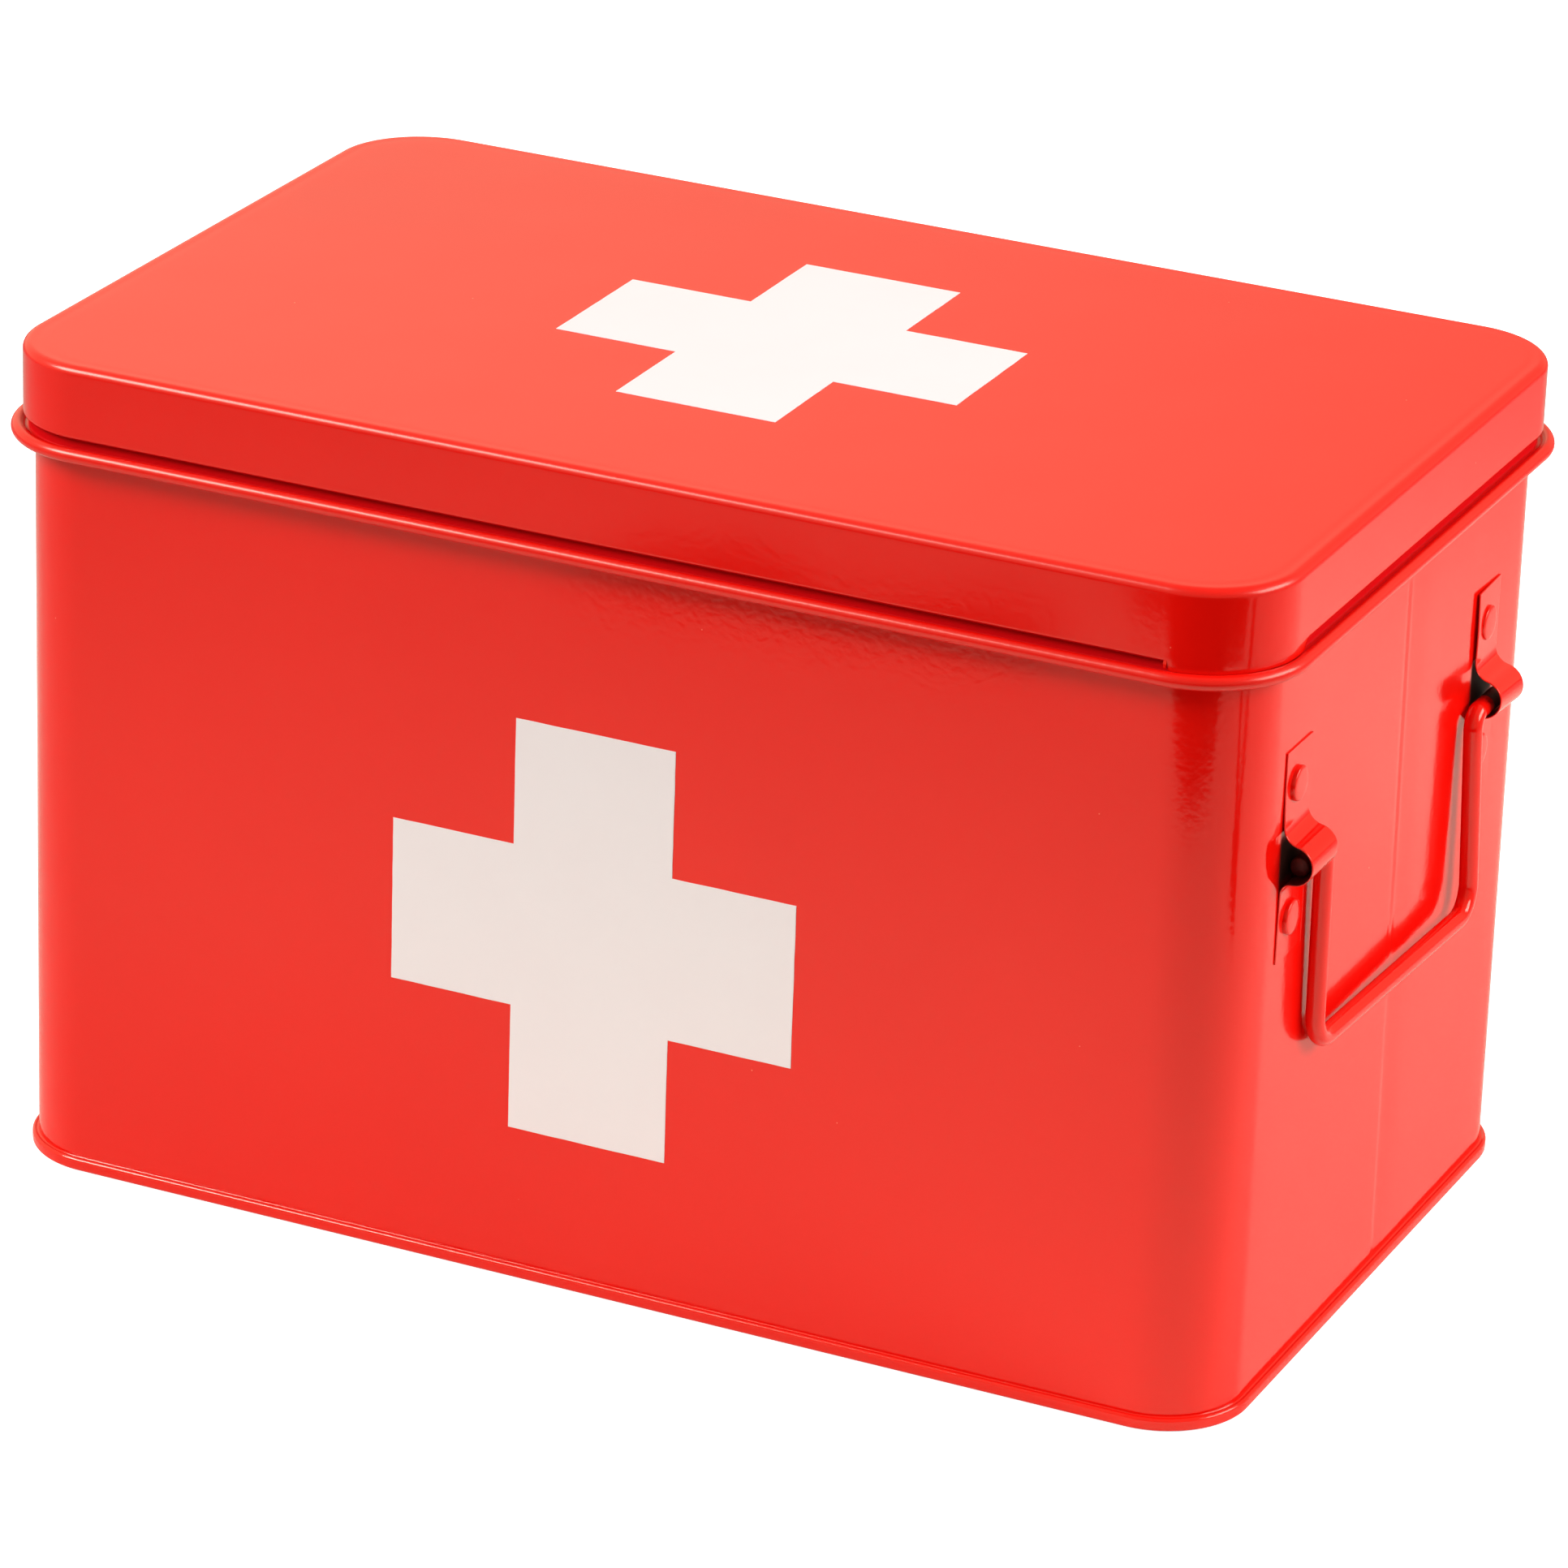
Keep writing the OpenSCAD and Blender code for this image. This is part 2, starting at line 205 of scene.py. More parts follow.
def gloss_powder_coat(name, deep="#e30b06", full="#ec0f05", rough=0.10, peel_um=22, shine=0.5):
    """Polyester powder on tinplate, baked to a full gloss: a mirror skin over one deep colour, with
    an orange peel that ruffles what it mirrors, and a few caught specks of dust."""
    material, tree = new_material(name)
    place = add(tree, "ShaderNodeTexCoord").outputs["Object"]
    # the film is a little thicker, and deeper, over patches some 60 mm wide
    patches = add(tree, "ShaderNodeTexNoise", Vector=place, Scale=1 / 0.060, Detail=2.0)
    colour = add(tree, "ShaderNodeMix", {"data_type": "RGBA"}, in0=patches.outputs["Fac"],
                 in6=linear(deep), in7=linear(full))
    # dust nibs, 0.35 mm wide and some 14 mm apart, paler than the coat
    nibs = add(tree, "ShaderNodeTexVoronoi", Vector=place, Scale=1 / 0.014)
    nib = add(tree, "ShaderNodeMapRange", Value=nibs.outputs["Distance"],
              From_Min=0.008, From_Max=0.016, To_Min=0.55, To_Max=0.0)
    colour = add(tree, "ShaderNodeMix", {"data_type": "RGBA"}, in0=nib.outputs[0],
                 in6=colour.outputs[2], in7=linear("#ff8a70"))
    # the sheet's own slow waves 35 mm apart, orange peel 1.6 mm apart, and a grain of 0.5 mm,
    # coarser than the real grain so that it shows
    waves = add(tree, "ShaderNodeTexNoise", Vector=place, Scale=1 / 0.035, Detail=1.0)
    bend = add(tree, "ShaderNodeBump", Height=waves.outputs["Fac"], Distance=0.00012)
    peel = add(tree, "ShaderNodeTexNoise", Vector=place, Scale=1 / 0.0016, Detail=1.0)
    ripple = add(tree, "ShaderNodeBump", Height=peel.outputs["Fac"], Distance=peel_um * 1e-6,
                 Normal=bend.outputs[0])
    grain = add(tree, "ShaderNodeTexNoise", Vector=place, Scale=1 / 0.0005, Detail=1.0)
    skin = add(tree, "ShaderNodeBump", Height=grain.outputs["Fac"], Distance=0.000002,
               Normal=ripple.outputs[0])
    # its gleam is a little warm, because light that has gone just under the skin comes back with it
    coat = add(tree, "ShaderNodeBsdfPrincipled", Base_Color=colour.outputs[2], Roughness=rough,
               IOR=1.5, Specular_IOR_Level=shine, Specular_Tint=linear("#fffcec"),
               Normal=skin.outputs[0])
    add(tree, "ShaderNodeOutputMaterial", Surface=coat.outputs[0])
    return material


def plan_walk(half_x, half_y, corner, step, corner_steps):
    """Points round the plan of the box and the way out at each, from the right side's front end."""
    walk, halves = [], (half_x, half_y, half_x, half_y)
    for side in range(4):
        out = Vector(((1, 0), (0, 1), (-1, 0), (0, -1))[side])
        along = Vector((-out.y, out.x))
        reach, length = halves[side], halves[(side + 1) % 4] - corner
        count = max(1, round(2 * length / step))
        walk += [(out * reach + along * length * (2 * i / count - 1), out) for i in range(count)]
        middle = out * (reach - corner) + along * length
        for i in range(corner_steps):
            a = math.pi / 2 * i / corner_steps
            way = out * math.cos(a) + along * math.sin(a)
            walk.append((middle + way * corner, way))
    return walk


def arc(cx, cz, r, start, end, count):
    """Points of a section on an arc, in degrees from straight out."""
    turns = [math.radians(start + (end - start) * i / count) for i in range(count + 1)]
    return [(cx + r * math.cos(a), cz + r * math.sin(a)) for a in turns]


def sweep(walk, section, capped=False, shift=None):
    """Carries a section (out, up) round a walk, and gives the vertices and faces. A section closes
    on itself, or is capped: a flat sheet then fills the plan at its first and at its last point."""
    rings = []
    for point, way in walk:
        for out, z in section:
            out_by, up_by = shift(point, way, out, z) if shift else (0, 0)
            rings.append((*(point + way * (out + out_by)), z + up_by))
    m, n = len(section), len(walk)
    faces = [(i * m + j, (i + 1) % n * m + j, (i + 1) % n * m + (j + 1) % m, i * m + (j + 1) % m)
             for i in range(n) for j in range(m - 1 if capped else m)]
    if capped:
        faces += [tuple(i * m for i in range(n))[::-1], tuple(i * m + m - 1 for i in range(n))]
    return rings, faces


def make_piece(name, parts, material, body, replaced, crease=40, second=None, seconds=()):
    """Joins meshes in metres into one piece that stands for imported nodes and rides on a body. The
    faces whose numbers are in seconds take the second material."""
    verts, faces = [], []
    for part_verts, part_faces in parts:
        faces += [tuple(len(verts) + i for i in face) for face in part_faces]
        verts += part_verts
    mesh = bpy.data.meshes.new(name)
    mesh.from_pydata(verts, [], faces)
    mesh.materials.append(material)
    if second:
        mesh.materials.append(second)
        for i in seconds:
            mesh.polygons[i].material_index = 1
    mesh.shade_smooth()
    mesh.set_sharp_from_angle(angle=math.radians(crease))
    piece = bpy.data.objects.new(name, mesh)
    scene.collection.objects.link(piece)
    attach(piece, body)
    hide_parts(*replaced)


mm = 0.001
half_x, half_y, corner, tin = 154.7 * mm, 93.9 * mm, 19.8 * mm, 0.5 * mm
bead_z, bead_reach, bead_r = 182.1 * mm, 3.9 * mm, 1.7 * mm
neck_out, rim_z, rim_r = 1.2 * mm, 202.2 * mm, 0.8 * mm
seam_foot, seam_lean = 6.1 * mm, -0.0235
nook, web, nook_top = 0.35 * mm, 0.5 * mm, 185.6 * mm

wall_walk = plan_walk(half_x, half_y, corner, 9 * mm, 24)
# the right side has close steps round its seam
seam_steps = [0.25 * mm * i for i in range(-8, 39)]
seam_steps += [y * mm for y in (-30, -20, -12, -6, -4, 11, 13, 16, 20, 28, 36, 46, 58)]
wall_walk = ([(p, w) for p, w in wall_walk if w.x != 1 or abs(p.y) > 60 * mm]
             + [(Vector((half_x, y)), Vector((1, 0))) for y in seam_steps])
wall_walk.sort(key=lambda step: (step[1].x != 1, step[0].y if step[1].x == 1 else 0))

wall_foot, first_row, row_gap = 0.8 * mm, 3.4 * mm, 9.86 * mm
wall_face = [(0, wall_foot)] + [(0, first_row + row_gap * i) for i in range(19)]
nook_below = arc(nook, bead_z - web - nook, nook, 180, 90, 5)
bead = arc(bead_reach, bead_z, bead_r, 196.5, 523.5, 44)
nook_above = arc(neck_out + nook, bead_z + web + nook, nook, 270, 180, 5)
wall_section = (
    wall_face + nook_below + bead + nook_above
    + [(neck_out, bead_z + web + nook + 0.3 * mm), (neck_out, nook_top),
       (neck_out, rim_z - rim_r - 0.3 * mm)]
    + arc(neck_out - rim_r, rim_z - rim_r, rim_r, 0, 180, 10)
    + [(neck_out - 2 * rim_r, rim_z - rim_r - 0.8 * mm),
       (neck_out - tin, rim_z - rim_r - 1.4 * mm), (neck_out - tin, bead_z + 1.5 * mm)]
    + [(-tin, z) for z in (bead_z - 0.5 * mm, 120 * mm, 60 * mm, wall_foot)])


def seam_relief(point, way, out, z):
    """The lapped edge as it shows through the coat, leaning a little: a crease 1.7 mm wide, a
    groove above and a ridge below, and behind it a sheet that rises 0.2 mm over 9 mm and sinks
    again. It fades out just under the bead."""
    low, high, fade = 3.3 * mm, 181 * mm, 3 * mm
    if way.x != 1 or abs(out) > 0.1 * mm or not low < z < high:
        return 0, 0
    d = (point.y - seam_foot - seam_lean * z) / mm

    def rise(start, width, slope):
        """Height gained since the start, in mm, on a slope so wide."""
        return slope * min(max(d - start, 0), width)

    ridge = min(1, max(0, (100 - z / mm) / 30))
    groove, crease = 1 - ridge, 0.10 - 0.17 * ridge
    end = -0.145 * groove + crease * 1.7 + 0.18
    lips = rise(-2.6, 1.6, -0.05 * groove) + rise(0.7, 1.3, -0.05 * groove)
    up = lips + rise(-1.0, 1.7, crease) + rise(2.0, 9, 0.02) + rise(13, 39, -end / 39)
    return up * mm * min(1, (high - z) / fade), 0


wall_coat = gloss_powder_coat("gloss_red_powder_coat_on_body")
# painted shade: behind the four loops the wall is painted a dark, dull red, as the shade there;
# their middles lie 59 mm either side of a point 4.7 mm off the middle, front on the right side and
# back on the left
tree = wall_coat.node_tree
coat = next(n for n in tree.nodes if n.type == "BSDF_PRINCIPLED")
place = add(tree, "ShaderNodeTexCoord").outputs["Object"]
place = add(tree, "ShaderNodeSeparateXYZ", Vector=place)
side = add(tree, "ShaderNodeMath", {"operation": "SIGN"}, in0=place.outputs["X"])
along = add(tree, "ShaderNodeMath", {"operation": "MULTIPLY_ADD"}, in0=place.outputs["Y"],
            in1=side.outputs[0], in2=0.0047)
along = add(tree, "ShaderNodeMath", {"operation": "ABSOLUTE"}, in0=along.outputs[0])
masks = []
for value, middle, near, clear in ((along.outputs[0], 0.059, 0.0062, 0.0079),
                                   (place.outputs["Z"], 0.1325, 0.0040, 0.0075)):
    off = add(tree, "ShaderNodeMath", {"operation": "SUBTRACT"}, in0=value, in1=middle)
    off = add(tree, "ShaderNodeMath", {"operation": "ABSOLUTE"}, in0=off.outputs[0])
    masks.append(add(tree, "ShaderNodeMapRange", {"interpolation_type": "SMOOTHSTEP"},
                     Value=off.outputs[0], From_Min=near, From_Max=clear, To_Min=1.0, To_Max=0.0))
loop_shade_mask = add(tree, "ShaderNodeMath", {"operation": "MULTIPLY"}, in0=masks[0].outputs[0],
              in1=masks[1].outputs[0])
# the painted shade: behind the loops the coat's colour goes to a dark red
thin = add(tree, "ShaderNodeMix", {"data_type": "RGBA"}, in0=loop_shade_mask.outputs[0],
           in6=coat.inputs["Base Color"].links[0].from_socket, in7=linear("#3a0404"))
# the coat drew back from the tight curve of the bead as it flowed, and gleams softer there
flowed = add(tree, "ShaderNodeMapRange", Value=place.outputs["Z"], From_Min=0.1800,
             From_Max=0.1808, To_Min=0.10, To_Max=0.26)
duller = add(tree, "ShaderNodeMapRange", Value=loop_shade_mask.outputs[0], To_Min=flowed.outputs[0],
             To_Max=0.75)
tree.links.new(thin.outputs[2], coat.inputs["Base Color"])
tree.links.new(duller.outputs[0], coat.inputs["Roughness"])
# painted shade: the nook over the bead is painted a deep, dull red that mirrors little, as the
# shade in it
nook_shade_coat = gloss_powder_coat("red_coat_painted_with_nook_shade", "#c80008", "#d0000a", 0.6, shine=0.12)
nook_from = len(wall_face + nook_below + bead)
in_nook = range(nook_from, nook_from + len(nook_above) + 1)
nook_shade_faces = {i * len(wall_section) + j for i in range(len(wall_walk)) for j in in_nook}
make_piece("rolled_body_wall", [sweep(wall_walk, wall_section, shift=seam_relief)], wall_coat,
           "box", ["body_wall"], second=nook_shade_coat, seconds=nook_shade_faces)

# ---- Base ----
# A pressed tinplate panel whose edge is rolled round the foot of the wall into a ring that the
# box stands on.
foot_out, foot_in, foot_h, foot_r = 1.6 * mm, -1.03 * mm, 3.2 * mm, 0.9 * mm
panel_z = 3.4 * mm
base_walk = plan_walk(half_x, half_y, corner, 12 * mm, 24)
foot_section = (
    [(foot_in - 2.0 * mm, panel_z), (foot_in - 0.3 * mm, panel_z), (foot_in, panel_z - 0.3 * mm),
     (foot_in, 0.5 * mm), (foot_in + 0.5 * mm, 0)]
    + arc(foot_out - foot_r, foot_r, foot_r, -90, 0, 8)
    + arc(foot_out - foot_r, foot_h - foot_r, foot_r, 0, 70, 8)
    + arc(0.5 * mm, foot_h + 0.15 * mm, 0.35 * mm, 290, 200, 5)
    + [(-0.4 * mm, foot_h + 0.05 * mm), (foot_in + 0.5 * mm, panel_z + tin),
       (foot_in - 2.0 * mm, panel_z + tin)])

base_coat = gloss_powder_coat("gloss_red_powder_coat_on_base")
make_piece("rolled_base_panel", [sweep(base_walk, foot_section, capped=True)],
           base_coat, "box", ["base_panel"])

# ---- Lid ----
# A shallow tray drawn from one tinplate blank, its edge hemmed inwards except round the front
# right corner, where the raw edge hangs down on the bead.
lid_out, lid_top, lid_edge_r = 2.75 * mm, 203.0 * mm, 2.0 * mm
hem_z, hem_h = 185.5 * mm, 4.2 * mm
roll_in, roll_up, lip_drop = 0.55 * mm, 0.8 * mm, 2.0 * mm
# the raw edge starts at the corner's two ends, and comes down over so far along them
raw_y, raw_y_fade, raw_turn_fade = -68.8 * mm, 1.8 * mm, 3
lid_walk = plan_walk(half_x, half_y, corner, 9 * mm, 32)
lid_walk[1:1] = [(Vector((half_x, y * mm)), Vector((1, 0))) for y in (-72, -70.5, -69.5, -68.5)]
# a shallow crease runs inside the rounded edge, where the blank was drawn over the punch
inside = lid_out - lid_edge_r - 4.0 * mm
lid_face = [(inside, lid_top), (inside + 1.6 * mm, lid_top),
            (inside + 2.5 * mm, lid_top - 0.045 * mm), (inside + 3.3 * mm, lid_top)]
lid_edge = arc(lid_out - lid_edge_r, lid_top - lid_edge_r, lid_edge_r, 90, 0, 16)
skirt = [(lid_out, lid_top - lid_edge_r - 0.2 * mm), (lid_out, 193 * mm),
         (lid_out, hem_z + roll_up + 0.15 * mm)]
curl = [(lid_out - roll_in + x, hem_z + roll_up * (1 + z / roll_in))
        for x, z in arc(0, 0, roll_in, 0, -90, 10)]
hem = [(lid_out - 1.15 * mm, hem_z + 0.15 * mm), (lid_out - 1.3 * mm, hem_z + 0.6 * mm),
       (lid_out - 1.2 * mm, hem_z + hem_h), (lid_out - tin, hem_z + hem_h)]
lid_section = (
    lid_face + lid_edge + skirt + curl + hem
    + arc(lid_out - lid_edge_r, lid_top - lid_edge_r, lid_edge_r - tin, 0, 90, 8)
    + [(inside, lid_top - tin)])


def raw_corner(point, way, out, z):
    """Straightens the hem and lets it down on to the bead, round the front right corner."""
    if way.x == 1:
        raw = min(1, (raw_y - point.y) / raw_y_fade)
    else:
        a = math.degrees(math.atan2(way.y, way.x))
        raw = min(1, (a + 90) / raw_turn_fade) if a < 0 else 0
    if raw <= 0 or z > hem_z + roll_up or out < lid_out - 1.35 * mm:
        return 0, 0
    return (raw * min(lid_out - out, roll_in) * 0.9,
            -raw * lip_drop * max(0, 1 - (z - hem_z) / roll_up))


lid_coat = gloss_powder_coat("gloss_red_powder_coat_on_lid", rough=0.09, peel_um=10)
tree = lid_coat.node_tree
place = add(tree, "ShaderNodeTexCoord").outputs["Object"]
place = add(tree, "ShaderNodeSeparateXYZ", Vector=place)
# its gleam is softer over the rounded edge, as it is over the bead
flowed = add(tree, "ShaderNodeMapRange", Value=place.outputs["Z"], From_Min=0.2006,
             From_Max=0.2014, To_Min=0.09, To_Max=0.26)
coat = next(n for n in tree.nodes if n.type == "BSDF_PRINCIPLED")
tree.links.new(flowed.outputs[0], coat.inputs["Roughness"])
# painted shade: the underside and the inner face of the hem take the same deep, dull red as that
# nook
curl_from = len(lid_face + lid_edge + skirt)
under = range(curl_from + 3, curl_from + len(curl + hem) - 1)
hem_shade_faces = {i * (len(lid_section) - 1) + j for i, (point, way) in enumerate(lid_walk)
               for j in under if raw_corner(point, way, lid_out - 0.2 * mm, hem_z) == (0, 0)}

# a tongue of torn tin hooks out of the hem where the raw edge starts, and is bent like a claw
tongue_x, tongue_y = half_x - corner + 0.5 * mm, -half_y - lid_out
claw = [(0.02, 0.4, 0.3), (0.14, -0.2, 0.42), (0.32, -0.8, 0.36), (0.26, -1.3, 0.24),
        (0.02, -1.7, 0.1)]
claw_t = 0.22
claw_points, claw_faces = [], []
for proud, down, broad in claw:
    for across in (-1, 1):
        for deep in (0, claw_t):
            claw_points.append((tongue_x + across * broad * mm, tongue_y - (proud - deep) * mm,
                                hem_z + down * mm))
for i in range(len(claw) - 1):
    q = 4 * i
    claw_faces += [(q, q + 4, q + 6, q + 2), (q + 1, q + 3, q + 7, q + 5),
                   (q, q + 1, q + 5, q + 4), (q + 2, q + 6, q + 7, q + 3)]
claw_faces += [(0, 2, 3, 1), (q + 4, q + 5, q + 7, q + 6)]
make_piece("drawn_lid", [sweep(lid_walk, lid_section, capped=True, shift=raw_corner),
                         (claw_points, claw_faces)], lid_coat, "lid", ["lid"],
           second=nook_shade_coat, seconds=hem_shade_faces)

# ---- Printed crosses ----
# White two-part ink, screened through a mesh on to the baked coat: a film 0.1 mm thick, satin,
# whose edge steps in and out a little with the mesh.
cross_l, cross_arm, ink_t = 101.7 * mm, 40 * mm, 0.1 * mm


def screen_ink(name, white):
    """Satin white ink, a little cloudy where it lies thicker and thinner."""
    material, tree = new_material(name)
    place = add(tree, "ShaderNodeTexCoord").outputs["Object"]
    cloud = add(tree, "ShaderNodeTexNoise", Vector=place, Scale=1 / 0.018, Detail=3.0)
    colour = add(tree, "ShaderNodeMix", {"data_type": "RGBA"}, in0=cloud.outputs["Fac"],
                 in6=linear(white), in7=linear("#ece4e4"))
    # the mesh of the screen leaves a grain of 0.4 mm, coarser than the real one so that it shows
    weave = add(tree, "ShaderNodeTexNoise", Vector=place, Scale=1 / 0.0004, Detail=1.0)
    skin = add(tree, "ShaderNodeBump", Height=weave.outputs["Fac"], Distance=0.000006)
    film = add(tree, "ShaderNodeBsdfPrincipled", Base_Color=colour.outputs[2], Roughness=0.34,
               IOR=1.5, Normal=skin.outputs[0])
    add(tree, "ShaderNodeOutputMaterial", Surface=film.outputs[0])
    return material


def cross_outline(length, arm, step=1.5 * mm, stray=0.07 * mm):
    """The outline of a cross about the origin, anticlockwise. Its edges stray with the screen."""
    far, near = length / 2, arm / 2
    corners = [(near, -far), (near, -near), (far, -near), (far, near), (near, near), (near, far),
               (-near, far), (-near, near), (-far, near), (-far, -near), (-near, -near),
               (-near, -far)]
    points = []
    for (x0, y0), (x1, y1) in zip(corners, corners[1:] + corners[:1]):
        count = round(math.hypot(x1 - x0, y1 - y0) / step)
        side = Vector((y1 - y0, x0 - x1)).normalized()
        for i in range(count):
            p = Vector((x0 + (x1 - x0) * i / count, y0 + (y1 - y0) * i / count))
            from_corner = min(i, count - i) / 2
            off = min(1, from_corner) * noise.noise((p.x * 190, p.y * 190, 3.7))
            points.append(p + side * stray * off)
    return points


def film_piece(name, node, place, material, body):
    """A film whose upper edge is worn round: place turns (across, up, thickness) into the box's
    frame. It reaches a little into the coat, so that no gap shows."""
    ring = cross_outline(cross_l, cross_arm)
    n, into, shoulder, worn = len(ring), 0.02 * mm, 0.7 * ink_t, 0.06 * mm
    verts = [place(p.x, p.y, t) for t in (-into, shoulder) for p in ring]
    for i, p in enumerate(ring):
        run = (ring[(i + 1) % n] - ring[i - 1]).normalized()
        p = p + Vector((-run.y, run.x)) * worn
        verts.append(place(p.x, p.y, ink_t))
    faces = [(k * n + i, k * n + (i + 1) % n, (k + 1) * n + (i + 1) % n, (k + 1) * n + i)
             for k in range(2) for i in range(n)]
    faces.append(tuple(range(2 * n, 3 * n)))
    faces.append(tuple(reversed(range(n))))
    make_piece(name, [(verts, faces)], material, body, [node], crease=15)


front_low, front_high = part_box("front_cross")
front_middle = (front_low + front_high) / 2
film_piece("front_screen_print", "front_cross",
           lambda u, v, t: (front_middle.x + u, front_high.y - t, front_middle.z + v),
           screen_ink("white_screen_ink_front", "#eae0e0"), "box")
lid_low, lid_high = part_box("lid_cross")
lid_middle = (lid_low + lid_high) / 2
film_piece("lid_screen_print", "lid_cross",
           lambda u, v, t: (lid_middle.x + u, lid_middle.y + v, lid_low.z + t),
           screen_ink("white_screen_ink_lid", "#eae0e0"), "lid")

# ---- Handle straps ----
# Four strips of thin steel, folded over a rod into a loop that holds a handle's end. Each is
# riveted on at both ends, and its front edge stands a little off the wall beside the loop.
strap_t, strap_w, loop_r, loop_x = 0.36 * mm, 14.9 * mm, 4.44 * mm, 3.0 * mm
rivet_half, loop_low, strap_shift, nip = 16 * mm, 0.9 * mm, 0.6 * mm, 0.13 * mm
upper_bend, lower_bend, tab_steps = 4.0 * mm, 2.4 * mm, 16
fittings_coat = gloss_powder_coat("gloss_red_powder_coat_on_straps", peel_um=10)


def painted_loop_shade_coat(name):
    """Painted shade: a dark, dull red mottled with a lighter red, as the shade inside a loop."""
    material, tree = new_material(name)
    place = add(tree, "ShaderNodeTexCoord").outputs["Object"]
    dust = add(tree, "ShaderNodeTexNoise", Vector=place, Scale=1 / 0.0012, Detail=2.0)
    colour = add(tree, "ShaderNodeMix", {"data_type": "RGBA"}, in0=dust.outputs["Fac"],
                 in6=linear("#2a0505"), in7=linear("#7d0c09"))
    rough_skin = add(tree, "ShaderNodeBump", Height=dust.outputs["Fac"], Distance=0.00002)
    steel = add(tree, "ShaderNodeBsdfPrincipled", Base_Color=colour.outputs[2], Roughness=0.55,
                IOR=1.5, Normal=rough_skin.outputs[0])
    add(tree, "ShaderNodeOutputMaterial", Surface=steel.outputs[0])
    return material


loop_shade_material = painted_loop_shade_coat("steel_painted_with_loop_shade")


def half_strap(bend_r, tab_end, rivet_at, lifts, share):
    """Middle line of half a strap, from its tab's end to the loop's front, as (out, up) from the
    loop's middle. Lifts are the gaps under the tab at its end, at the rivet and at the loop."""
    at_end, at_rivet, at_loop = (lift * share for lift in lifts)
    lean_x = strap_t + bend_r - loop_x + at_loop
    rise = math.sqrt((loop_r + strap_t + bend_r) ** 2 - lean_x ** 2)
    meet = math.degrees(math.atan2(rise, lean_x))
    line = []
    for i in range(tab_steps + 1):
        z = tab_end + (rise - tab_end) * i / tab_steps
        if z > rivet_at:
            off = at_rivet + (at_end - at_rivet) * (z - rivet_at) / (tab_end - rivet_at)
        else:
            off = at_rivet + (at_loop - at_rivet) * ((rivet_at - z) / (rivet_at - rise)) ** 1.4
        line.append((strap_t / 2 - loop_x + off, z))
    line += arc(lean_x, rise, bend_r + strap_t / 2, 180, 180 + meet, 12)[1:]
    line += arc(0, 0, loop_r + strap_t / 2, meet, 0, 16)[1:]
    return line


def strap_piece(name, wall_sign, top_lifts, low_lifts, loop_slope=0.0):
    """A strap on the right wall (1) or the left one (-1), with nipped edges. Its loop stands level
    or slopes along the rod."""
    low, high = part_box(name)
    middle_y = (low.y + high.y) / 2 + wall_sign * strap_shift
    loop_z = (low.z + high.z) / 2 - loop_low
    half = (high.z - low.z) / 2
    edge = [(0, nip), (0.4 * nip, 0.4 * nip), (nip, 0), (2.5 * nip, 0)]
    rows = ([(inset - strap_w / 2, thin) for inset, thin in edge]
            + [(-strap_w / 6, 0), (strap_w / 6, 0)]
            + [(strap_w / 2 - inset, thin) for inset, thin in reversed(edge)])
    verts, faces, loop_shade_faces = [], [], []
    for y, thin in rows:
        share = 0.5 - wall_sign * y / strap_w
        upper = half_strap(upper_bend, half + loop_low, rivet_half + loop_low, top_lifts, share)
        lower = half_strap(lower_bend, half - loop_low, rivet_half - loop_low, low_lifts, share)
        line = upper + [(x, -z) for x, z in reversed(lower[:-1])]
        n = len(line)
        for side in (1, -1):
            for i in range(n):
                run = (Vector(line[min(i + 1, n - 1)]) - Vector(line[max(i - 1, 0)])).normalized()
                p = Vector(line[i]) + side * Vector((-run.y, run.x)) * (strap_t / 2 - thin)
                slope = loop_slope * y * wall_sign * max(0, 1 - abs(p.y) / rivet_half)
                verts.append((wall_sign * (half_x + loop_x + p.x), middle_y + y,
                              loop_z + p.y + slope))
    m = 2 * n

    def skin(*corners):
        """A face that looks outwards on either wall."""
        faces.append(corners if wall_sign > 0 else corners[::-1])

    for r in range(len(rows) - 1):
        for i in range(n - 1):
            skin(r * m + i, r * m + i + 1, (r + 1) * m + i + 1, (r + 1) * m + i)
            # faces on the inside of the loop take the painted shade
            if tab_steps <= i < n - 1 - tab_steps:
                loop_shade_faces.append(len(faces))
            skin(r * m + n + i, (r + 1) * m + n + i, (r + 1) * m + n + i + 1, r * m + n + i + 1)
        for i, ahead in ((0, False), (n - 1, True)):
            q = (r * m + i, r * m + n + i, (r + 1) * m + n + i, (r + 1) * m + i)
            skin(*(q if ahead else q[::-1]))
    for r, ahead in ((0, False), (len(rows) - 1, True)):
        for i in range(n - 1):
            q = (r * m + i, r * m + i + 1, r * m + n + i + 1, r * m + n + i)
            skin(*(q if ahead else q[::-1]))
    make_piece(name.replace("strap", "loop_strap"), [(verts, faces)], fittings_coat, "box",
               [name], 50, loop_shade_material, loop_shade_faces)


strap_piece("right_front_strap", 1, (0, 0.06 * mm, 0.35 * mm), (0, 0.06 * mm, 0.2 * mm))
strap_piece("right_rear_strap", 1, (0.55 * mm, 0.75 * mm, 0.65 * mm),
            (0.1 * mm, 0.2 * mm, 0.4 * mm), loop_slope=-0.08)
strap_piece("left_rear_strap", -1, (0, 0.08 * mm, 0.3 * mm), (0, 0.05 * mm, 0.25 * mm))
strap_piece("left_front_strap", -1, (0.1 * mm, 0.3 * mm, 0.5 * mm), (0, 0.1 * mm, 0.3 * mm))

